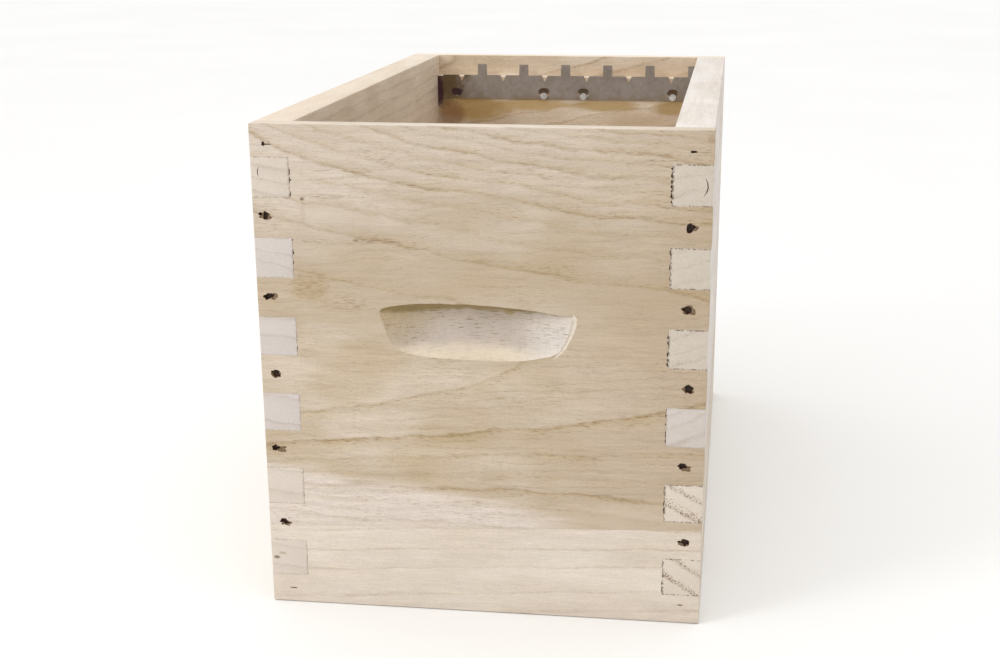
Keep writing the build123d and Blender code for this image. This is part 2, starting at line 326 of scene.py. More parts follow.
    # end grain
    pore = k.voronoi(p, 1 / 1.05)["Distance"]
    group = k.rng(k.noise(p, 1 / 3.4, 1.0, 0.5), 0.38, 0.60, 0.35, 1.15)
    pores = k.mul(k.rng(pore, 0.42, 0.16), k.add(min(specks, 0.5) * 0.14, k.mul(k.mul(halo, group), specks * 1.35)))
    endcol = k.mix(k.mul(halo, 0.32), end, band)
    cloud = k.noise(p, 1 / 5.0, 3.0, 0.6)
    endcol = k.mix(k.rng(cloud, 0.35, 0.75, 0.0, 0.28), endcol, mid)
    endcol = k.mix(k.mul(core, 0.22), endcol, line)
    endcol = k.mix(k.m("MINIMUM", pores, 1.0), endcol, line)
    n = k.t.nodes.new("ShaderNodeVectorMath")
    n.operation = "SCALE"
    k.put(n.inputs[0], endcol)
    k.put(n.inputs["Scale"], k.rng(k.noise(p, 1 / 0.9, 1.0, 0.5), 0.28, 0.72, 0.95, 1.04))
    endcol = n.outputs[0]
    if outline and along == "Y":
        # dirt and torn fibre round each finger where the saw left the wood
        cell = k.m("FRACT", k.add(k.mul(k.sub(z, HT - 20.0), 1 / 25.0), 0.5))
        dz = k.mul(k.m("ABSOLUTE", k.sub(cell, 0.5)), 25.0)
        dx = k.m("ABSOLUTE", k.sub(k.m("ABSOLUTE", x), INX))
        edge = k.m("MINIMUM", dz, k.mul(dx, 0.8))
        dots = k.rng(k.noise(p, 1 / 1.5, 1.0, 0.5), 0.42, 0.56)
        endcol = k.mix(k.mul(k.mul(k.rng(edge, 1.0, 0.3), dots), outline), endcol, lin((92, 68, 46)))
    col = k.mix(k.mul(endm, end_mix), col, endcol)
    # Painted highlight: faces turned upward are painted towards a pale warm colour by the top amount, standing in for
    # the light from above.
    if top:
        col = k.mix(k.mul(k.rng(nz, 0.7, 0.95), top), col, lin((247, 239, 227)))
    if spots:
        y0 = -HY + 0.9 if spots_y is None else spots_y
        on = k.rng(y, y0 + 0.6, y0)
        rag = k.mul(k.sub(k.noise(p, 1 / 1.6, 2.0, 0.6), 0.5), 1.3)
        drift = k.mul(k.sub(k.noise(k.vec(k.mul(x, 0.4), y, z), 1 / 9.0, 2.0, 0.5), 0.5), 1.5)
        for sx, sz, rx, rz, tint, amount in spots:
            ex = k.m("MULTIPLY_ADD", x, 1 / rx, -sx / rx)
            ez = k.m("MULTIPLY_ADD", z, 1 / rz, -sz / rz)
            r2 = k.add(k.add(k.mul(ex, ex), k.mul(ez, ez)), drift if rx > 16 and rz > 3 else rag)
            here = k.mul(k.rng(r2, 1.5, 0.3, smooth=True), on)
            if amount < 0:
                here = k.mul(here, k.rng(dash, 0.46, 0.60))
            col = k.mix(k.mul(here, abs(amount)), col, tint)
    k.put(k.bsdf.inputs["Base Color"], col)
    k.put(k.bsdf.inputs["Roughness"], k.rng(k.add(k.mul(fib, 0.7), k.mul(tone, 0.3)), 0.3, 0.7, rough - 0.06, rough + 0.12))
    k.bsdf.inputs["Specular IOR Level"].default_value = 0.30
    h = k.add(k.add(k.mul(fib, 0.6), k.mul(grit, 0.25)), k.sub(k.mul(core, -0.4), k.mul(k.rng(dash, 0.57, 0.70), 0.3)))
    k.put(k.bsdf.inputs["Normal"], k.bump(h, 0.5, 0.00030))
    return k.mat


def scoop_wood(name, seed, base, lit_bottom_colour, pale, shade_and_chatter_colour, brown, cx, s):
    """Cross-cut face left by the hand-hold cutter: chatter marks and short torn vessels, with painted light and shade:
    a painted shadow under the top edge, on the upper part and at one end, a small painted shadow under a chip in the
    edge, and painted highlights on the upward-facing bottom band and the other end.
    """
    k = Nodes(name)
    p = k.coords()
    x, y, z = k.xyz(p)
    u = k.mul(k.sub(x, cx), -s)
    off = seed * 31.0
    ru, rz = k.add(u, off), k.add(z, off)
    soft = k.noise(k.vec(k.mul(ru, 1 / 30), k.mul(rz, 1 / 12), seed), 1.0, 2.0, 0.5)
    fib = k.noise(k.vec(k.mul(ru, 1 / 9), k.mul(rz, 1 / 0.8), seed), 1.0, 2.0, 0.6)
    dash = k.noise(k.vec(k.mul(ru, 1 / 5.5), k.mul(rz, 1 / 0.8), seed + 5.0), 1.0, 2.0, 0.55)
    up = k.noise(k.vec(k.mul(ru, 1 / 2.2), k.mul(rz, 1 / 9.0), seed + 8.0), 1.0, 2.0, 0.6)
    col = k.mix(k.rng(soft, 0.36, 0.64, smooth=True), base, k_dim(base, 0.93))
    # Painted highlight: the bottom band of the recess, which faces up, is painted a pale warm colour.
    low = k.m("MULTIPLY_ADD", k.sub(soft, 0.5), 9.0, z)
    col = k.mix(k.mul(k.rng(low, 181.5, 172.0, smooth=True), 0.9), col, lit_bottom_colour)
    # Painted highlight: the end of the sweep at positive u (the right end on the near wall), which faces the key light,
    # is painted paler.
    right = k.rng(u, 18.0, 46.0, smooth=True)
    col = k.mix(k.mul(right, 0.7), col, pale)
    left = k.rng(u, -12.0, -56.0, smooth=True)
    fan = k.mul(k.m("POWER", k.m("ABSOLUTE", k.sub(z, 186.0)), 2.0), 0.010)
    wave = k.m("SINE", k.add(k.mul(k.mul(u, k.m("MULTIPLY_ADD", z, 0.0075, 1.0 - 186.0 * 0.0075)), 2 * math.pi / 1.5), k.add(k.add(k.mul(z, 0.30), fan), k.mul(k.sub(fib, 0.5), 8.0))))
    marks = k.mul(k.mul(k.rng(wave, -0.4, 1.0), left), k.rng(z, 176.0, 196.0, 0.35, 1.0))
    # Painted shade: the upper part and the end at negative u are painted greenish brown, standing in for the shade
    # under the top edge and on the end turned away from the key light.
    col = k.mix(k.mul(k.rng(k.add(k.mul(z, 0.045), k.mul(left, 1.2)), 8.6, 10.2), 0.62), col, shade_and_chatter_colour)
    col = k.mix(k.mul(marks, 0.46), col, k_dim(shade_and_chatter_colour, 0.62))
    cross = k.rng(up, 0.5, 0.68)
    col = k.mix(k.mul(k.mul(cross, k.rng(u, -20.0, 30.0)), 0.16), col, brown)
    # Painted shadow: a small dark dip below the top edge at u of about 19.5, where a chip in the edge throws shade.
    chip_shadow = k.add(k.m("POWER", k.mul(k.sub(u, 19.5), 0.27), 2.0), k.m("POWER", k.mul(k.sub(z, 199.6), 0.42), 2.0))
    col = k.mix(k.mul(k.rng(k.add(chip_shadow, k.mul(k.sub(dash, 0.5), 1.6)), 1.3, 0.4), 0.7), col, k_dim(shade_and_chatter_colour, 0.80))
    sc = k.t.nodes.new("ShaderNodeVectorMath")
    sc.operation = "SCALE"
    k.put(sc.inputs[0], col)
    k.put(sc.inputs["Scale"], k.add(k.rng(fib, 0.28, 0.72, 0.94, 1.05), k.rng(up, 0.3, 0.7, -0.03, 0.03)))
    col = sc.outputs[0]
    lots = k.mul(k.rng(k.noise(k.vec(k.mul(ru, 1 / 22), k.mul(rz, 1 / 9), seed + 2.0), 1.0, 1.0, 0.5), 0.40, 0.60, 0.25, 0.85), k.rng(z, 176.0, 186.0, 0.25, 1.0))
    col = k.mix(k.mul(k.rng(dash, 0.54, 0.70), lots), col, brown)
    # Painted shadow: a dark band just under the top edge of the recess.
    under_edge_shadow = k.add(z, k.add(k.mul(k.sub(soft, 0.5), 4.0), k.add(k.mul(k.sub(dash, 0.5), 2.6), k.mul(u, -0.012))))
    col = k.mix(k.mul(k.rng(under_edge_shadow, 198.2, 201.2, smooth=True), 0.92), col, k_dim(shade_and_chatter_colour, 0.56))
    k.put(k.bsdf.inputs["Base Color"], col)
    k.put(k.bsdf.inputs["Roughness"], k.rng(fib, 0.3, 0.7, 0.52, 0.72))
    k.bsdf.inputs["Specular IOR Level"].default_value = 0.30
    h = k.add(k.mul(fib, 0.5), k.sub(k.mul(marks, -0.8), k.mul(k.rng(dash, 0.58, 0.70), 0.4)))
    k.put(k.bsdf.inputs["Normal"], k.bump(h, 0.55, 0.00035))
    return k.mat


def k_dim(rgb, f): return [c * f for c in rgb]


def torn_wood(name, col_a, col_b):
    """Broken fibres inside nail holes and ragged joint edges."""
    k = Nodes(name)
    p = k.coords()
    n1 = k.noise(p, 1 / 0.9, 3.0, 0.7)
    n2 = k.noise(p, 1 / 3.0, 2.0, 0.5)
    col = k.mix(k.rng(k.add(k.mul(n1, 0.6), k.mul(n2, 0.4)), 0.38, 0.62), col_a, col_b)
    k.put(k.bsdf.inputs["Base Color"], col)
    k.put(k.bsdf.inputs["Roughness"], k.rng(n1, 0.3, 0.7, 0.75, 0.95))
    k.bsdf.inputs["Specular IOR Level"].default_value = 0.15
    k.put(k.bsdf.inputs["Normal"], k.bump(n1, 0.8, 0.0004))
    return k.mat


def rusty(name):
    k = Nodes(name)
    p = k.coords()
    n1 = k.noise(p, 1 / 1.3, 4.0, 0.65)
    n2 = k.noise(p, 1 / 0.4, 2.0, 0.5)
    col = k.mix(k.rng(n1, 0.4, 0.62), lin((56, 47, 44)), lin((84, 58, 42)))
    k.put(k.bsdf.inputs["Base Color"], col)
    k.put(k.bsdf.inputs["Metallic"], k.rng(n1, 0.42, 0.6, 0.35, 0.05))
    k.put(k.bsdf.inputs["Roughness"], k.rng(n2, 0.3, 0.7, 0.55, 0.85))
    k.put(k.bsdf.inputs["Normal"], k.bump(n2, 0.5, 0.0002))
    return k.mat


def galvanised(name, bright=False):
    k = Nodes(name)
    p = k.coords()
    x, y, z = k.xyz(p)
    cell = k.voronoi(k.vec(x, k.mul(y, 0.3), z), 1 / 3.4)
    spangle = k.noise(cell["Color"], 3.0, 0.0, 0.5)
    cloud = k.noise(p, 1 / 14.0, 3.0, 0.6)
    scr = k.noise(k.vec(k.mul(x, 1 / 22), k.mul(y, 1), k.mul(z, 1 / 0.5)), 1.0, 2.0, 0.6)
    # With bright set, the zinc is painted nearly white: partly its own pale colour, partly a painted highlight standing
    # in for the glint on the nail heads.
    a, b = (lin((214, 215, 217)), lin((244, 245, 247))) if bright else (lin((150, 139, 130)), lin((168, 158, 150)))
    col = k.mix(k.rng(k.add(k.mul(spangle, 0.45), k.mul(cloud, 0.55)), 0.36, 0.64), a, b)
    col = k.mix(k.rng(scr, 0.60, 0.78, 0.0, 0.25), col, b)
    if not bright:
        # Painted shade and painted reflection: the strip's left end is painted dark greenish brown near the left wall,
        # where it is shaded and mirrors the wood.
        left_end_shade = k.rng(k.add(x, k.mul(k.sub(cloud, 0.5), 46.0)), -84.0, -101.0, 0.0, 0.92, smooth=True)
        col = k.mix(left_end_shade, col, lin((106, 86, 50)))
        col = k.mix(k.rng(k.add(z, k.mul(k.sub(cloud, 0.5), 14.0)), 281.0, 277.0, 0.0, 0.45), col, lin((142, 124, 92)))
    k.put(k.bsdf.inputs["Base Color"], col)
    k.bsdf.inputs["Metallic"].default_value = 0.60 if bright else 0.45
    k.put(k.bsdf.inputs["Roughness"], k.rng(k.add(k.mul(spangle, 0.5), k.mul(cloud, 0.5)), 0.35, 0.65, 0.28 if bright else 0.52, 0.42 if bright else 0.68))
    k.put(k.bsdf.inputs["Normal"], k.bump(k.add(k.mul(cloud, 0.7), k.mul(scr, 0.3)), 0.30, 0.0003))
    return k.mat


# ------------------------------------------------------------------ mesh helpers
def keep(obj, *nodes, slot):
    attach(obj, "root")
    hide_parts(*nodes)
    return obj


def cells(xs, ys, zs, filled, lift=None):
    """Closed quad mesh round the filled cells of a grid; lift moves vertices of one level."""
    bm = bmesh.new()
    verts = {}

    def v(i, j, l):
        if (i, j, l) not in verts:
            z = zs[l]
            if lift and l in lift:
                z = lift[l](xs[i])
            verts[(i, j, l)] = bm.verts.new((xs[i] * MM, ys[j] * MM, z * MM))
        return verts[(i, j, l)]

    nx, ny, nz = len(xs) - 1, len(ys) - 1, len(zs) - 1
    f = lambda i, j, l: 0 <= i < nx and 0 <= j < ny and 0 <= l < nz and filled(i, j, l)
    for i in range(nx):
        for j in range(ny):
            for l in range(nz):
                if not f(i, j, l):
                    continue
                if not f(i - 1, j, l): bm.faces.new((v(i, j, l), v(i, j, l + 1), v(i, j + 1, l + 1), v(i, j + 1, l)))
                if not f(i + 1, j, l): bm.faces.new((v(i + 1, j, l), v(i + 1, j + 1, l), v(i + 1, j + 1, l + 1), v(i + 1, j, l + 1)))
                if not f(i, j - 1, l): bm.faces.new((v(i, j, l), v(i + 1, j, l), v(i + 1, j, l + 1), v(i, j, l + 1)))
                if not f(i, j + 1, l): bm.faces.new((v(i, j + 1, l), v(i, j + 1, l + 1), v(i + 1, j + 1, l + 1), v(i + 1, j + 1, l)))
                if not f(i, j, l - 1): bm.faces.new((v(i, j, l), v(i, j + 1, l), v(i + 1, j + 1, l), v(i + 1, j, l)))
                if not f(i, j, l + 1): bm.faces.new((v(i, j, l + 1), v(i + 1, j, l + 1), v(i + 1, j + 1, l + 1), v(i, j + 1, l + 1)))
    bmesh.ops.recalc_face_normals(bm, faces=bm.faces)
    return bm


def near(a, b): return abs(a - b) < 0.02


def weigh(bm):
    """Bevel weight 1 on the box's own arrises, small on joint edges, none on concave or flat edges."""
    w = {}
    for e in bm.edges:
        if len(e.link_faces) != 2 or e.calc_face_angle_signed(0.0) < 0.3:
            continue
        a, b = [v.co / MM for v in e.verts]
        both = lambda f: f(a) and f(b)
        ox = both(lambda c: near(abs(c.x), HX))
        oy = both(lambda c: near(abs(c.y), HY))
        top = both(lambda c: near(c.z, HT))
        bot = both(lambda c: near(c.z, 0.0))
        rim = top and (both(lambda c: near(abs(c.y), HY - RIM)) or both(lambda c: near(abs(c.x), INX)))
        inner = bot and (both(lambda c: near(abs(c.y), INY)) or both(lambda c: near(abs(c.x), INX)))
        ledge = both(lambda c: near(c.z, LEDGE) and near(abs(c.y), INY))
        outer = (ox and oy) or ((top or bot) and (ox or oy)) or rim or inner or ledge
        w[e.index] = 1.0 if outer else 0.2
    return w


def object_from(bm, name):
    me = bpy.data.meshes.new(name)
    bm.to_mesh(me)
    bm.free()
    o = bpy.data.objects.new(name, me)
    scene.collection.objects.link(o)
    return o


def baked(o, name):
    """The object's mesh with its modifiers applied, as a new clean object."""
    dg = bpy.context.evaluated_depsgraph_get()
    me = bpy.data.meshes.new_from_object(o.evaluated_get(dg), preserve_all_data_layers=True, depsgraph=dg)
    me.name = name
    mats = [s.material for s in o.material_slots]
    bpy.data.objects.remove(o, do_unlink=True)
    n = bpy.data.objects.new(name, me)
    scene.collection.objects.link(n)
    return n


def blob(bm, centre, axis_u, axis_v, axis_d, radii, depth, flare, rnd, seg=22, mat=0, proud=1.6):
    """Ragged closed plug: a wavy outline, wider at the mouth, cut down to depth along axis_d."""
    ph = [rnd.uniform(0, 6.28) for _ in range(4)]
    amp = [rnd.uniform(0.05, 0.13) for _ in range(4)]
    rows = []
    for dd, sc in ((-proud, 1.0 + flare), (0.0, 1.0 + flare), (depth * 0.35, 1.0), (depth, 0.94)):
        row = []
        for i in range(seg):
            a = 2 * math.pi * i / seg
            r = 1.0 + sum(amp[k] * math.sin((k + 2) * a + ph[k]) for k in range(4)) + rnd.uniform(-0.05, 0.05) * (1.6 if dd <= 0 else 0.6)
            p = centre + axis_u * (radii[0] * r * sc * math.cos(a)) + axis_v * (radii[1] * r * sc * math.sin(a)) + axis_d * dd
            row.append(bm.verts.new(p * MM))
        rows.append(row)
    for j in range(seg):
        # the plug is straight above the surface so that only its mouth shows
        rows[0][j].co = rows[1][j].co - axis_d * (proud * MM)
    faces = [bm.faces.new(rows[0]), bm.faces.new(list(reversed(rows[-1])))]
    for a, b in zip(rows, rows[1:]):
        for i in range(seg):
            faces.append(bm.faces.new((a[i], b[i], b[(i + 1) % seg], a[(i + 1) % seg])))
    for f in faces:
        f.material_index = mat
    return faces


def sliver(bm, y_face, s, pts, depth, mat=0):
    """Thin ragged wedge along a joint edge: pts are (x_left, x_right, z) rows on the face y = y_face; s points into the wood."""
    rows = []
    for xl, xr, z in pts:
        xm = (xl + xr) / 2
        rows.append([bm.verts.new(Vector(c) * MM) for c in ((xl, y_face - s * 1.0, z), (xr, y_face - s * 1.0, z), (xr, y_face, z), (xm, y_face + s * depth, z), (xl, y_face, z))])
    faces = [bm.faces.new(list(reversed(rows[0]))), bm.faces.new(rows[-1])]
    for a, b in zip(rows, rows[1:]):
        for i in range(5):
            faces.append(bm.faces.new((a[i], a[(i + 1) % 5], b[(i + 1) % 5], b[i])))
    for f in faces:
        f.material_index = mat
    return faces


def finish_piece(o, name, mats, cutter=None, node=None, slot="wood_side", wide=0.7):
    """Bevel, cut, clean up and parent one plank under the root body, hiding its imported part."""
    o.name = name + "_raw"
    w = weigh_from(o)
    attr = o.data.attributes.new("bevel_weight_edge", "FLOAT", "EDGE")
    for i, val in w.items():
        attr.data[i].value = val
    for m in mats:
        o.data.materials.append(m)
    b = o.modifiers.new("arris", "BEVEL")
    b.limit_method = "WEIGHT"
    b.width = wide * MM
    b.segments = 3
    b.use_clamp_overlap = True
    if cutter is not None:
        for m in mats:
            cutter.data.materials.append(m)
        c = o.modifiers.new("cut", "BOOLEAN")
        c.operation = "DIFFERENCE"
        c.solver = "EXACT"
        c.use_self = True
        c.material_mode = "INDEX"
        c.object = cutter
    n = baked(o, name)
    if cutter is not None:
        bpy.data.objects.remove(cutter, do_unlink=True)
    me = n.data
    index = [f.material_index for f in me.polygons]
    me.materials.clear()
    for m in mats:
        me.materials.append(m)
    me.polygons.foreach_set("material_index", index)
    bm = bmesh.new()
    bm.from_mesh(me)
    bmesh.ops.remove_doubles(bm, verts=bm.verts, dist=0.000004)
    bmesh.ops.dissolve_degenerate(bm, edges=bm.edges, dist=0.000002)
    loose = [v for v in bm.verts if not v.link_faces]
    bmesh.ops.delete(bm, geom=loose, context="VERTS")
    bm.to_mesh(me)
    bm.free()
    me.shade_smooth()
    me.set_sharp_from_angle(angle=math.radians(32))
    keep(n, node or name.replace("_wood", ""), slot=slot)
    return n


def weigh_from(o):
    bm = bmesh.new()
    bm.from_mesh(o.data)
    bm.edges.ensure_lookup_table()
    bm.edges.index_update()
    w = weigh(bm)
    bm.free()
    return w


# ------------------------------------------------------------------ materials
M = {}
# distance from pith, pore line, halo, halo width (mm on the face)
FRONT_RINGS = [(78.2, 0.36, 0.9, 8.0), (93.0, 0.50, 1.15, 9.0), (103.2, 0.25, 0.50, 6.0), (112.0, 0.15, 0.40, 6.0), (119.8, 0.50, 0.80, 7.0), (127.4, 0.25, 0.6, 6.0), (133.5, 0.18, 0.5, 6.0),
               (140.3, 0.48, 0.75, 6.5), (147.0, 0.18, 0.5, 5.5), (152.4, 0.45, 0.7, 6.5), (159.5, 0.25, 0.5, 5.5), (166.0, 0.35, 0.6, 5.5), (173.0, 0.25, 0.5, 5.0)]
GREY = lin((128, 104, 78))
FRONT_SPOTS = [(-108.6, 268.6, 1.3, 1.0, lin((92, 66, 48)), 0.9), (-108.4, 262.0, 1.6, 10.0, lin((184, 164, 138)), 0.30), (-92.0, 270.4, 19.0, 1.6, GREY, -0.42),
               (-63.0, 243.9, 15.0, 1.7, lin((122, 96, 68)), -0.62), (-76.0, 243.6, 1.7, 0.8, lin((104, 78, 54)), 0.7), (-94.0, 242.4, 18.0, 1.8, GREY, -0.4),
               (-77.2, 246.0, 1.1, 15.0, lin((186, 168, 144)), 0.30), (-92.0, 254.0, 17.0, 13.0, lin((214, 202, 188)), 0.35), (-106.0, 214.0, 12.0, 8.5, lin((140, 108, 64)), -0.62), (-84.0, 204.5, 14.0, 6.0, lin((146, 112, 74)), -0.45),
               (-106.0, 213.0, 13.0, 9.0, lin((180, 154, 112)), 0.45), (0.0, 222.0, 165.0, 52.0, lin((178, 159, 133)), 0.36), (138.0, 309.0, 2.4, 2.8, lin((150, 122, 92)), 0.35), (100.0, 66.5, 46.0, 4.0, lin((176, 148, 116)), 0.15), (92.0, 64.0, 60.0, 15.0, lin((214, 197, 178)), 0.42)]
# The first two zones paint the upper left of the face lighter and the right part darker: partly the wood's own tone,
# partly painted light and shade standing in for the key light's fall-off from left to right. The third zone is the
# sapwood.
M["front_up"] = wood("wood_front_upper", "X", 1.0, lin((211, 196, 178)), lin((199, 182, 160)), lin((180, 157, 115)), lin((128, 99, 57)), lin((196, 178, 152)),
                     rings=FRONT_RINGS, pith=178.35, slope=0.0773, depth=75.0, tilt=0.0944, fold=(0.00327, -0.00341), face=-HY, sign=1.0, flat=True,
                     warp=0.95, ring_gain=1.1, minor=0.30, top=0.32, spots=FRONT_SPOTS, porous=1.1,
                     zones=[(-0.25, 1.0, 262.0, 50.0, lin((212, 199, 187)), 0.6), (1.0, -0.35, 12.0, 85.0, lin((188, 168, 143)), 0.78),
                            (-0.13, -1.0, -77.0, 6.0, lin((224, 212, 202)), 0.9, (30.0, 75.0))])
M["front_low"] = wood("wood_front_lower", "X", 2.0, lin((228, 217, 204)), lin((221, 208, 194)), lin((210, 195, 176)), lin((180, 156, 126)), lin((214, 200, 178)),
                      spacing=12.0, pith=-60.0, slope=0.022, depth=60.0, tilt=-0.05, face=-HY, warp=0.4, ring_gain=0.52, fibre=0.85, porous=0.4)
# Painted shade on the far wall's inner face: golden-brown bands just under the strip, darkest and widest on the left
# where the left wall shades it; darker brown patches and a band in the left corner; dark patches behind the strip's
# slots and at its left end, standing in for the shaded channel behind the strip.
FAR_WALL_PAINTED_SHADE = [(-84.0, 268.0, 36.0, 11.0, lin((176, 140, 70)), 0.80), (-30.0, 272.0, 28.0, 5.5, lin((190, 156, 92)), 0.7), (35.0, 271.5, 32.0, 5.0, lin((184, 150, 82)), 0.7),
             (98.0, 270.5, 22.0, 7.0, lin((176, 142, 74)), 0.7), (-116.5, 302.0, 4.2, 18.0, lin((140, 112, 64)), 0.8), (-104.0, 262.0, 13.0, 12.0, lin((142, 100, 66)), 0.7), (-111.0, 285.0, 10.0, 17.0, lin((122, 92, 58)), 0.75),
             (-19.4, 284.2, 5.9, 4.6, lin((74, 52, 34)), 0.95), (16.0, 284.2, 5.9, 4.6, lin((76, 62, 38)), 0.95), (95.4, 284.2, 5.9, 4.6, lin((84, 58, 38)), 0.95),
             (-98.0, 282.5, 6.4, 4.4, lin((48, 30, 36)), 0.97), (-114.5, 284.0, 4.6, 15.0, lin((70, 36, 48)), 0.95), (-106.0, 281.5, 9.0, 4.0, lin((78, 44, 50)), 0.8)]
M["back_up"] = wood("wood_back_upper", "X", 3.0, lin((232, 216, 196)), lin((220, 199, 174)), lin((198, 172, 134)), lin((140, 110, 74)), lin((206, 188, 160)),
                    spacing=13.0, pith=330.0, slope=0.16, depth=22.0, tilt=0.10, face=INY, sign=1.0, warp=1.0, ring_gain=0.6, top=0.6, spots=FAR_WALL_PAINTED_SHADE, spots_y=INY + 0.4)
M["back_low"] = wood("wood_back_lower", "X", 4.0, lin((222, 206, 182)), lin((208, 190, 162)), lin((190, 166, 132)), lin((140, 112, 78)), lin((206, 190, 166)),
                     spacing=11.0, pith=60.0, slope=-0.05, depth=40.0, tilt=-0.08, face=INY, warp=0.8, ring_gain=0.85)
M["left_top"] = wood("wood_left_top", "Y", 5.0, lin((230, 215, 196)), lin((220, 202, 181)), lin((204, 182, 154)), lin((120, 98, 74)), lin((212, 201, 190)),
                     spacing=9.5, pith=700.0, slope=0.0, depth=-60.0, tilt=0.0, face=-INX, sign=1.0, warp=0.35, ring_gain=0.62, specks=0.22, outline=0.50, top=0.22)
M["left_mid"] = wood("wood_left_mid", "Y", 6.0, lin((226, 213, 198)), lin((215, 200, 184)), lin((202, 184, 166)), lin((138, 118, 100)), lin((207, 199, 195)),
                     spacing=14.0, pith=820.0, slope=0.0, depth=-70.0, tilt=0.0, face=-INX, sign=1.0, warp=0.7, ring_gain=1.15, specks=0.12, outline=0.22)
M["left_low"] = wood("wood_left_low", "Y", 7.0, lin((226, 212, 190)), lin((216, 200, 176)), lin((202, 182, 154)), lin((134, 110, 84)), lin((218, 207, 198)),
                     spacing=13.0, pith=620.0, slope=0.0, depth=-50.0, tilt=0.0, face=-INX, sign=1.0, warp=0.5, ring_gain=0.8, specks=0.18, outline=0.30,
                     spots=[(-136.4, 31.0, 2.2, 1.1, lin((120, 90, 58)), 0.8), (-132.5, 34.0, 2.4, 0.9, lin((176, 150, 118)), 0.6)])
# The right-hand planks get paler, greyer base colours than the left ones: partly their own tone, partly painted light
# standing in for the brighter, cooler light on the right outer face.
M["right_top"] = wood("wood_right_top", "Y", 8.0, lin((230, 224, 218)), lin((222, 213, 205)), lin((211, 199, 187)), lin((124, 98, 70)), lin((203, 191, 175)),
                      spacing=10.0, pith=-300.0, slope=0.0, depth=-180.0, tilt=0.0, face=INX, sign=1.0, warp=0.7, ring_gain=0.6, specks=0.75, outline=1.0, top=0.08)
M["right_mid"] = wood("wood_right_mid", "Y", 9.0, lin((230, 224, 218)), lin((222, 213, 206)), lin((211, 199, 189)), lin((150, 132, 112)), lin((205, 195, 187)),
                      spacing=10.0, pith=330.0, slope=0.0, depth=90.0, tilt=0.0, face=INX, sign=1.0, warp=0.7, ring_gain=1.15, specks=0.2, outline=0.22)
RIGHT_RINGS = [(240.0, 0.4, 0.4, 3.5), (258.0, 0.7, 0.5, 4.0), (274.3, 0.95, 0.75, 4.0), (287.0, 0.75, 0.55, 3.6), (301.0, 0.2, 0.15, 3.0), (316.9, 1.0, 1.0, 6.0), (328.4, 0.75, 0.6, 3.2), (345.0, 0.6, 0.5, 4.0)]
M["right_low"] = wood("wood_right_low", "Y", 10.0, lin((224, 215, 204)), lin((216, 204, 190)), lin((204, 180, 148)), lin((96, 62, 36)), lin((222, 210, 196)),
                      rings=RIGHT_RINGS, pith=-204.0, slope=0.0, depth=138.0, tilt=0.0, face=INX, sign=1.0, warp=0.22, ring_gain=1.35, specks=3.1, outline=0.85)
M["scoop"] = scoop_wood("handhold_cut", 1.0, lin((200, 187, 175)), lin((236, 221, 199)), lin((227, 219, 211)), lin((186, 160, 106)), lin((136, 110, 82)), -2.2, -1.0)
M["scoop_back"] = scoop_wood("handhold_cut_far", 4.0, lin((206, 190, 170)), lin((224, 206, 178)), lin((216, 204, 190)), lin((176, 154, 116)), lin((128, 100, 72)), 1.0, 1.0)
M["torn"] = torn_wood("torn_fibres", lin((60, 42, 31)), lin((104, 76, 52)))
M["pulled"] = torn_wood("pulled_fibres", lin((112, 90, 70)), lin((164, 142, 116)))
M["gap"] = torn_wood("joint_shadow", lin((38, 28, 22)), lin((78, 56, 40)))
# The step cut's bevel is painted pale: partly the lighter newly cut wood, partly a painted highlight where the bevel
# faces the light.
M["fresh"] = torn_wood("fresh_cut", lin((216, 203, 186)), lin((234, 224, 210)))
M["nail"] = rusty("nail_steel")
M["sheet"] = galvanised("spacer_sheet")
M["clout"] = galvanised("nail_zinc", bright=True)


# ------------------------------------------------------------------ hand-hold cutter
LOW = [(170.2, -0.4), (170.5, 1.4), (171.2, 3.1), (172.4, 4.9), (174.2, 7.1), (177.4, 8.9), (180.6, 9.7), (184.0, 10.25), (188.0, 10.8), (192.0, 11.3), (196.0, 11.7), (199.5, 12.0),
       (201.2, 11.7), (202.4, 10.8), (203.5, 9.4), (204.4, 7.6), (205.0, 5.4), (205.4, 3.0), (205.6, 0.6), (205.7, -0.4)]


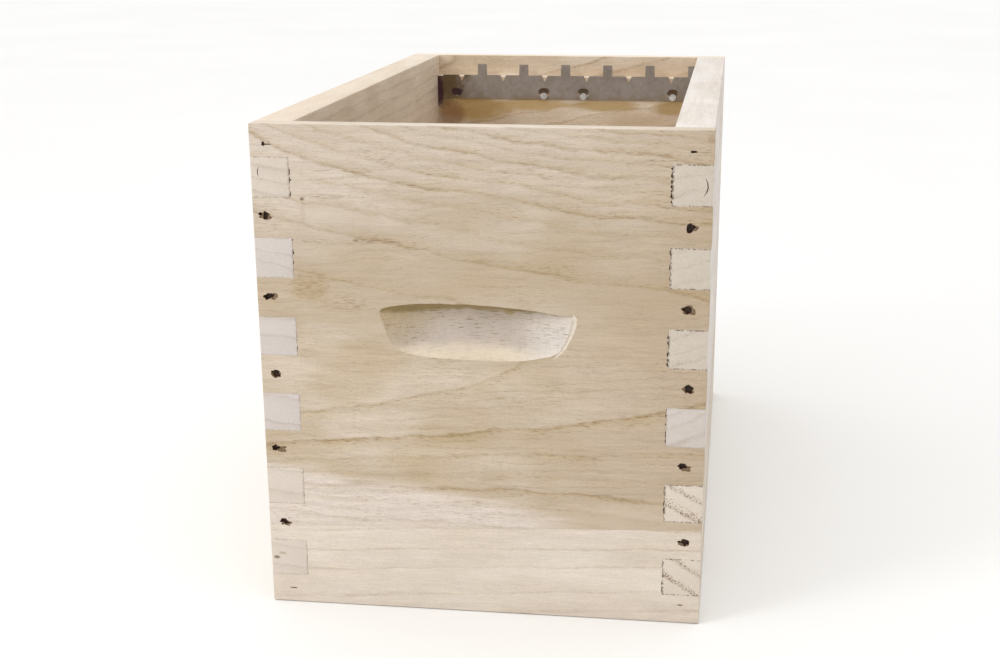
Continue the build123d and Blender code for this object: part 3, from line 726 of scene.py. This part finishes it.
def scoop(bm, s, cx, reach=60.4, mat=0, seed=0.0):
    """Milled recess: one sweep of a large cutter, with chatter marks at the end where it leaves the wood."""
    R = 160.0
    deep = reach * reach / (2 * R)
    scale = deep / 12.0
    n = 440
    rows = []
    for z, d in LOW:
        d = d * scale if d > 0 else d
        row = []
        for i in range(n + 1):
            f = -1.0 + 2.0 * i / n
            xx = f * (reach + 6.0)
            dep = d - xx * xx / (2 * R)
            left = min(max((-xx * s * -1 - 18.0) / 30.0, 0.0), 1.0) if s > 0 else min(max((xx - 18.0) / 30.0, 0.0), 1.0)
            side = min(max((-xx - 14.0) / 30.0, 0.0), 1.0)
            chatter = 0.075 * side * math.sin(xx / 1.35 * 2 * math.pi + 0.15 * z) + 0.03 * math.sin(xx / 3.9 + z * 0.5)
            grainy = 0.06 * noise.noise(Vector((xx * 0.35, z * 0.9, seed)))
            dep += chatter + grainy
            zz = z + 0.35 * noise.noise(Vector((xx * 0.09, seed + 3.0, z * 0.05))) + 0.16 * noise.noise(Vector((xx * 0.5, seed + 9.0, 0.0))) * (1.0 if z > 203 or z < 172 else 0.0)
            if z > 200.0:
                zz -= 0.0009 * (xx + 20) ** 2 * (z - 200.0) / 5.7
            row.append(bm.verts.new(Vector((cx + xx * -s, s * HY - s * dep, zz)) * MM))
        rows.append(row)
    front = []
    for row in rows:
        front.append([bm.verts.new(Vector((v.co.x / MM, s * (HY + 30.0), v.co.z / MM)) * MM) for v in (row[0], row[-1])])
    faces = []
    for a, b in zip(rows, rows[1:]):
        for i in range(n):
            faces.append(bm.faces.new((a[i], a[i + 1], b[i + 1], b[i])))
    # close the body in front of the wall
    for j in range(len(rows) - 1):
        faces.append(bm.faces.new((rows[j][0], rows[j + 1][0], front[j + 1][0], front[j][0])))
        faces.append(bm.faces.new((rows[j][-1], front[j][1], front[j + 1][1], rows[j + 1][-1])))
        faces.append(bm.faces.new((front[j][0], front[j + 1][0], front[j + 1][1], front[j][1])))
    faces.append(bm.faces.new(rows[0] + [front[0][1], front[0][0]]))
    faces.append(bm.faces.new(list(reversed(rows[-1])) + [front[-1][0], front[-1][1]]))
    for f in faces:
        f.material_index = mat


def step_cut(bm, s, mat=0):
    """Narrow second cut along the recess's end: a fine dark step and a bright bevel out to the outline."""
    ridge = [(57.8, 201.6), (57.6, 199.4), (56.9, 194.3), (54.9, 187.5), (52.2, 181.6), (49.6, 177.4), (46.9, 174.0), (44.6, 172.0)]
    outer = [(58.1, 201.4), (60.5, 198.4), (59.6, 192.2), (56.8, 185.6), (53.8, 180.0), (50.8, 176.3), (47.7, 173.6), (44.7, 172.0)]
    deep = [0.2, 0.7, 0.85, 0.85, 0.8, 0.6, 0.35, 0.1]
    rows = []
    for (xa, za), (xb, zb), dd in zip(ridge, outer, deep):
        y0 = s * (HY + 1.5)
        rows.append([bm.verts.new(Vector(c) * MM) for c in ((xa * -s, y0, za), (xb * -s, y0, zb), (xb * -s, s * HY, zb), ((xa * 0.82 + xb * 0.18) * -s, s * (HY - dd), za * 0.82 + zb * 0.18), (xa * -s, s * (HY - 0.2), za))])
    faces = [bm.faces.new(list(reversed(rows[0]))), bm.faces.new(rows[-1])]
    for a, b in zip(rows, rows[1:]):
        for i in range(5):
            faces.append(bm.faces.new((a[i], a[(i + 1) % 5], b[(i + 1) % 5], b[i])))
    for f in faces:
        f.material_index = mat


# ------------------------------------------------------------------ end walls
def levels(*extra):
    zs = {0.0, HT, LEDGE}
    for a, b in END_FINGERS + SIDE_FINGERS:
        zs |= {a, b}
    zs |= set(extra)
    out = []
    for z in sorted(zs):
        if not out or abs(z - out[-1]) > 0.01:
            out.append(z)
    return out


def in_spans(z, spans): return any(a - 0.01 <= z <= b + 0.01 for a, b in spans)


def end_plank(s, z_lo, z_hi, slope_lo=0.0, slope_hi=0.0):
    """Part of the end wall at y = s*HY between two glue lines."""
    xs = [-HX, -INX + SEAM, INX - SEAM, HX]
    ys = sorted([s * HY, s * (HY - RIM), s * INY])
    zs = [z for z in levels(z_lo, z_hi) if z_lo - 0.01 <= z <= z_hi + 0.01]
    lift = {}
    if slope_lo:
        lift[0] = lambda x: z_lo + slope_lo * x
    if slope_hi:
        lift[len(zs) - 1] = lambda x: z_hi + slope_hi * x

    def filled(i, j, l):
        zm, ym = (zs[l] + zs[l + 1]) / 2, (ys[j] + ys[j + 1]) / 2
        if zm > LEDGE and abs(ym) < HY - RIM:
            return False
        return i == 1 or in_spans(zm, END_FINGERS)

    return cells(xs, ys, zs, filled, lift)


def side_plank(s, z_lo, z_hi):
    """Part of the side wall at x = s*HX between two glue lines."""
    xs = sorted([s * HX, s * INX])
    ys = [-HY, -(HY - RIM), -INY, INY, HY - RIM, HY]
    zs = [z for z in levels(z_lo, z_hi) if z_lo - 0.01 <= z <= z_hi + 0.01]

    def filled(i, j, l):
        zm, ym = (zs[l] + zs[l + 1]) / 2, abs(ys[j] + ys[j + 1]) / 2
        if ym < INY:
            return True
        if in_spans(zm, SIDE_FINGERS):
            return True
        return zm > LEDGE and ym < HY - RIM

    return cells(xs, ys, zs, filled)


X, Y, Z = Vector((1, 0, 0)), Vector((0, 1, 0)), Vector((0, 0, 1))


def nail_mouths(bm, s, places, rnd, shapes=None):
    """Each mouth: dark lobes down to the nail's head, and a shallow torn patch where fibres pulled away."""
    for i, (x, z) in enumerate(places):
        lobes, tail = (shapes or {}).get(i, (None, None))
        if lobes is None:
            lobes = [(0.0, 0.0, rnd.uniform(2.3, 2.8), rnd.uniform(1.9, 2.4))]
            tail = (rnd.uniform(0.6, 1.4), rnd.uniform(-0.7, 0.2), rnd.uniform(2.6, 3.3), rnd.uniform(1.7, 2.1))
        blob(bm, Vector((x + tail[0] * -s, s * HY, z + tail[1])), X, Z, Y * -s, tail[2:], 0.9, 0.06, rnd, mat=3, seg=26)
        for dx, dz, rx, rz in lobes:
            blob(bm, Vector((x + dx * -s, s * HY, z + dz)), X, Z, Y * -s, (rx, rz), 3.1, rnd.uniform(0.03, 0.075), rnd, mat=1)


def brad_mouths(bm, s, places, rnd, tails=()):
    for i, (x, z) in enumerate(places):
        if i < len(tails) and tails[i] == "faint":
            blob(bm, Vector((x, s * HY, z)), X, Z, Y * -s, (rnd.uniform(1.7, 2.1), 0.42), 0.5, 0.1, rnd, seg=18, mat=3)
        elif i < len(tails) and tails[i]:
            blob(bm, Vector((x - 1.3, s * HY, z + 0.15)), X, Z, Y * -s, (1.05, 1.15), 1.5, 0.1, rnd, seg=14, mat=1)
            blob(bm, Vector((x + 1.1, s * HY, z - 0.1)), X, Z, Y * -s, (2.3, 0.34), 0.9, 0.1, rnd, seg=18, mat=1)
        else:
            blob(bm, Vector((x, s * HY, z)), X, Z, Y * -s, (rnd.uniform(1.8, 2.1), rnd.uniform(0.62, 0.75)), 1.5, 0.1, rnd, seg=18, mat=1)


def arc_slit(bm, s, pts, width, depth, mat=2):
    """Fine split along a curve on the end face."""
    sliver(bm, s * HY, -s, [(x - width * f, x + width * f, z) for (x, z), f in zip(pts, [0.15] + [0.5] * (len(pts) - 2) + [0.15])], depth, mat=mat)


def ragged_gaps(bm, s, rnd, strengths, side, floor=-1.0):
    """Torn fibres along the inner edge of each side finger; strengths 0..1 from the top finger down."""
    x0 = side * (INX - SEAM * 0.5)
    for (z0, z1), g in zip(SIDE_FINGERS, strengths):
        if g <= 0.0 or z0 < floor:
            continue
        z = z0 + rnd.uniform(0.3, 2.0)
        while z < z1 - 1.5:
            run = rnd.uniform(1.2, 4.6)
            if rnd.random() < 0.25 + 0.48 * g:
                top = min(z + run, z1 - 0.2)
                n = max(3, int((top - z) / 0.55))
                pts = []
                for i in range(n + 1):
                    f = i / n
                    w = (0.16 + 0.80 * g * math.sin(math.pi * f) ** 0.6) * rnd.uniform(0.5, 1.25)
                    pts.append((x0 - w * rnd.uniform(0.1, 0.3), x0 + w * rnd.uniform(0.7, 1.25), z + (top - z) * f))
                if side > 0:
                    pts = [(x0 - (b - x0), x0 + (x0 - a), zz) for a, b, zz in pts]
                sliver(bm, s * HY, -s, pts, 0.7 + 1.6 * g, mat=2)
            z += run + rnd.uniform(0.2, 1.6) * (1.6 - g)


rnd = random.Random(11)
planks = []


def skin(key, scoop_key="scoop"): return [M[key], M["torn"], M["gap"], M["pulled"], M[scoop_key], M["fresh"]]


# dark lobes and torn patch of each nail in the near end wall, (dx, dz, rx, rz) mm
MOUTH_L = {0: ([(0.4, 0.1, 1.75, 2.35), (-2.9, 1.0, 1.15, 0.95)], (0.5, -0.3, 3.5, 2.1)), 1: ([(-1.7, -0.2, 2.2, 1.9), (0.8, 0.6, 1.5, 1.4)], (1.6, 0.3, 3.4, 2.0)),
           2: ([(0.4, -0.2, 2.5, 2.2), (-2.2, 1.2, 0.8, 0.7)], (0.2, 0.0, 2.9, 2.5)), 3: ([(-1.9, 0.5, 2.2, 1.9)], (1.3, -0.2, 3.9, 1.9)), 4: ([(-0.5, 0.6, 2.3, 1.5), (1.0, -0.7, 1.6, 1.4)], (1.1, -0.6, 3.1, 1.8))}
MOUTH_R = {0: ([(0.0, -0.1, 2.5, 2.9)], (1.7, -0.3, 2.7, 1.7)), 1: ([(-0.3, 0.0, 2.7, 2.3)], (0.6, -0.1, 4.2, 2.6)), 2: ([(0.3, 0.0, 2.9, 2.3)], (0.0, -0.1, 3.3, 2.6)),
           3: ([(-0.7, 0.5, 2.9, 1.8)], (1.6, -0.8, 3.1, 1.8)), 4: ([(1.2, 0.0, 2.2, 2.4), (-2.1, 0.2, 1.5, 0.9)], (0.6, -0.3, 3.3, 2.2))}
pick = lambda d, idx: {i: d[j] for i, j in enumerate(idx)}

# near end wall, upper plank
cut = bmesh.new()
scoop(cut, -1, -2.2, reach=60.2, mat=4, seed=1.0)
step_cut(cut, -1, mat=5)
nail_mouths(cut, -1, FRONT_LEFT, rnd, MOUTH_L)
nail_mouths(cut, -1, FRONT_RIGHT, rnd, MOUTH_R)
brad_mouths(cut, -1, BRADS_FRONT[:2], rnd, (True, False))
ragged_gaps(cut, -1, random.Random(21), (0.85, 0.75, 0.22, 0.12, 0.06, 0.0), -1, GLUE_Z)
ragged_gaps(cut, -1, random.Random(22), (1.0, 0.75, 0.80, 0.60, 0.55, 0.0), 1, GLUE_Z)
bmesh.ops.recalc_face_normals(cut, faces=cut.faces)
up = end_plank(-1, GLUE_Z, HT, slope_lo=GLUE_SLOPE)
planks.append(finish_piece(object_from(up, "a"), "front_plank_upper_wood", skin("front_up"), object_from(cut, "c"), "front_plank_upper", "wood_tan"))

cut = bmesh.new()
rl = random.Random(5)
nail_mouths(cut, -1, FRONT_LEFT[4:], rl, pick(MOUTH_L, [4]))
nail_mouths(cut, -1, FRONT_RIGHT[4:], rl, pick(MOUTH_R, [4]))
brad_mouths(cut, -1, BRADS_FRONT[2:], rnd, ("faint", "faint"))
ragged_gaps(cut, -1, random.Random(23), (0.0, 0.0, 0.0, 0.0, 0.0, 0.2), -1)
ragged_gaps(cut, -1, random.Random(24), (0.0, 0.0, 0.0, 0.0, 0.0, 0.35), 1)
bmesh.ops.recalc_face_normals(cut, faces=cut.faces)
planks.append(finish_piece(object_from(end_plank(-1, 0.0, GLUE_Z, slope_hi=GLUE_SLOPE), "a"), "front_plank_lower_wood", skin("front_low"), object_from(cut, "c"), "front_plank_lower", "wood_pale"))

# far end wall
cut = bmesh.new()
scoop(cut, 1, 1.0, reach=61.0, mat=4, seed=4.0)
nail_mouths(cut, 1, BACK_LEFT[:3] + BACK_RIGHT[:3], rnd)
brad_mouths(cut, 1, BRADS_BACK[:2], rnd)
ragged_gaps(cut, 1, random.Random(25), (0.5, 0.3, 0.4, 0.0, 0.0, 0.0), -1)
ragged_gaps(cut, 1, random.Random(26), (0.4, 0.5, 0.2, 0.0, 0.0, 0.0), 1)
bmesh.ops.recalc_face_normals(cut, faces=cut.faces)
planks.append(finish_piece(object_from(end_plank(1, BACK_GLUE, HT), "a"), "back_plank_upper_wood", skin("back_up", "scoop_back"), object_from(cut, "c"), "back_plank_upper", "wood_tan"))
cut = bmesh.new()
nail_mouths(cut, 1, BACK_LEFT[3:] + BACK_RIGHT[3:], rnd)
brad_mouths(cut, 1, BRADS_BACK[2:], rnd)
ragged_gaps(cut, 1, random.Random(27), (0.0, 0.0, 0.0, 0.0, 0.4, 0.2), -1)
ragged_gaps(cut, 1, random.Random(28), (0.0, 0.0, 0.0, 0.0, 0.3, 0.4), 1)
bmesh.ops.recalc_face_normals(cut, faces=cut.faces)
planks.append(finish_piece(object_from(end_plank(1, 0.0, BACK_GLUE), "a"), "back_plank_lower_wood", skin("back_low", "scoop_back"), object_from(cut, "c"), "back_plank_lower", "wood_pale"))

# side walls
ARCS = {"left_top": [(-134.6, 287.6), (-135.5, 286.0), (-135.6, 284.0), (-135.2, 281.6)], "right_top": [(135.4, 285.8), (136.6, 283.2), (136.9, 280.4), (136.1, 277.6), (134.4, 275.4)]}
for s, tag, (g0, g1) in ((-1, "left", LEFT_GLUE), (1, "right", RIGHT_GLUE)):
    for part, z0, z1 in (("top", g1, HT), ("mid", g0, g1), ("low", 0.0, g0)):
        cut = bmesh.new()
        n = 0
        for y, z in SIDE_NAILS:
            if z0 < z < z1:
                blob(cut, Vector((s * HX, y, z)), Y, Z, X * -s, (rnd.uniform(2.6, 3.1), rnd.uniform(2.4, 2.8)), 3.1, 0.12, rnd, mat=1)
                blob(cut, Vector((s * HX, y + rnd.uniform(-1.2, 1.2), z)), Y, Z, X * -s, (rnd.uniform(3.2, 3.7), rnd.uniform(2.0, 2.6)), 0.8, 0.06, rnd, mat=3)
                n += 1
        if part == "top":
            arc_slit(cut, -1, ARCS[tag + "_top"], 0.62 if s > 0 else 0.5, 1.2)
            n += 1
        bmesh.ops.recalc_face_normals(cut, faces=cut.faces)
        cutter = object_from(cut, "c")
        if not n:
            bpy.data.objects.remove(cutter, do_unlink=True)
            cutter = None
        slot = "wood_pale" if (tag, part) == ("right", "mid") else "wood_side"
        planks.append(finish_piece(object_from(side_plank(s, z0, z1), "a"), f"{tag}_plank_{part}_wood", skin(f"{tag}_{part}"), cutter, f"{tag}_plank_{part}", slot))

# ------------------------------------------------------------------ steel
for node in ("nails_front_left", "nails_front_right", "nails_back_left", "nails_back_right", "nails_left_side", "nails_right_side", "brads_front", "brads_back"):
    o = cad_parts[node]
    for sl in o.material_slots:
        sl.material = M["nail"]
for node in ("spacer_front", "spacer_back"):
    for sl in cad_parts[node].material_slots:
        sl.material = M["sheet"]
for node in ("spacer_nails_front", "spacer_nails_back"):
    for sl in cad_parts[node].material_slots:
        sl.material = M["clout"]

# ------------------------------------------------------------------ stage, light, camera
k = Nodes("studio_floor")
p = k.coords()
k.put(k.bsdf.inputs["Base Color"], k.mix(k.rng(k.noise(p, 1 / 600.0, 2.0, 0.5), 0.3, 0.7), (0.90, 0.90, 0.895), (0.925, 0.925, 0.92)))
k.bsdf.inputs["Roughness"].default_value = 0.9
k.bsdf.inputs["Specular IOR Level"].default_value = 0.1
bm = bmesh.new()
bmesh.ops.create_grid(bm, x_segments=8, y_segments=8, size=14.0)
floor = object_from(bm, "floor")
floor.location = (0, 0, -0.0004)
floor.data.materials.append(k.mat)

world = bpy.data.worlds.new("studio")
scene.world = world
world.use_nodes = True
wt = world.node_tree
wt.nodes.clear()
w_out, w_bg = wt.nodes.new("ShaderNodeOutputWorld"), wt.nodes.new("ShaderNodeBackground")
w_co, w_sep, w_map = wt.nodes.new("ShaderNodeTexCoord"), wt.nodes.new("ShaderNodeSeparateXYZ"), wt.nodes.new("ShaderNodeMapRange")
wt.links.new(w_co.outputs["Generated"], w_sep.inputs[0])
wt.links.new(w_sep.outputs[2], w_map.inputs[0])
for i, v in enumerate((0.0, 1.0, 0.34, 1.46)):
    w_map.inputs[i + 1].default_value = v
w_bg.inputs[0].default_value = (1.0, 0.995, 0.985, 1.0)
wt.links.new(w_map.outputs[0], w_bg.inputs[1])
w_pale, w_ray, w_mix = wt.nodes.new("ShaderNodeBackground"), wt.nodes.new("ShaderNodeLightPath"), wt.nodes.new("ShaderNodeMixShader")
w_pale.inputs[0].default_value = (0.94, 0.94, 0.935, 1.0)
wt.links.new(w_ray.outputs["Is Camera Ray"], w_mix.inputs[0])
wt.links.new(w_bg.outputs[0], w_mix.inputs[1])
wt.links.new(w_pale.outputs[0], w_mix.inputs[2])
wt.links.new(w_mix.outputs[0], w_out.inputs[0])


def area(name, loc, target, size, power, colour=(1, 1, 1)):
    d = bpy.data.lights.new(name, "AREA")
    d.shape = "RECTANGLE"
    d.size, d.size_y = size
    d.energy = power
    d.color = colour
    o = bpy.data.objects.new(name, d)
    o.location = loc
    o.rotation_euler = (Vector(target) - Vector(loc)).to_track_quat("-Z", "Y").to_euler()
    scene.collection.objects.link(o)
    return o


area("key_left", (-1.25, -1.15, 1.15), (0, -0.2, 0.15), (0.6, 0.6), 8.0, (1.0, 0.99, 0.975))

cam_data = bpy.data.cameras.new("camera")
cam = bpy.data.objects.new("camera", cam_data)
scene.collection.objects.link(cam)
right = Vector((0.99105959, 0.13340834, -0.00175951))
down = Vector((0.03780793, -0.29346474, -0.95522197))
fwd = Vector((-0.12795093, 0.94661537, -0.29588494))
rot = Matrix((right, -down, -fwd)).transposed()
cam.matrix_world = Matrix.Translation(Vector((0.15101539, -0.89095661 - HY * MM, 0.43146533))) @ rot.to_4x4()
cam_data.sensor_width = 36.0
cam_data.lens = 36.0 * 1519.416 / 1000.0
cam_data.shift_x = -(528.710 - 500.0) / 1000.0
cam_data.shift_y = (389.058 - 329.0) / 1000.0
cam_data.clip_start, cam_data.clip_end = 0.01, 60.0
cam_data.dof.use_dof = False
scene.camera = cam
scene.view_settings.view_transform = "Standard"
scene.view_settings.look = "None"
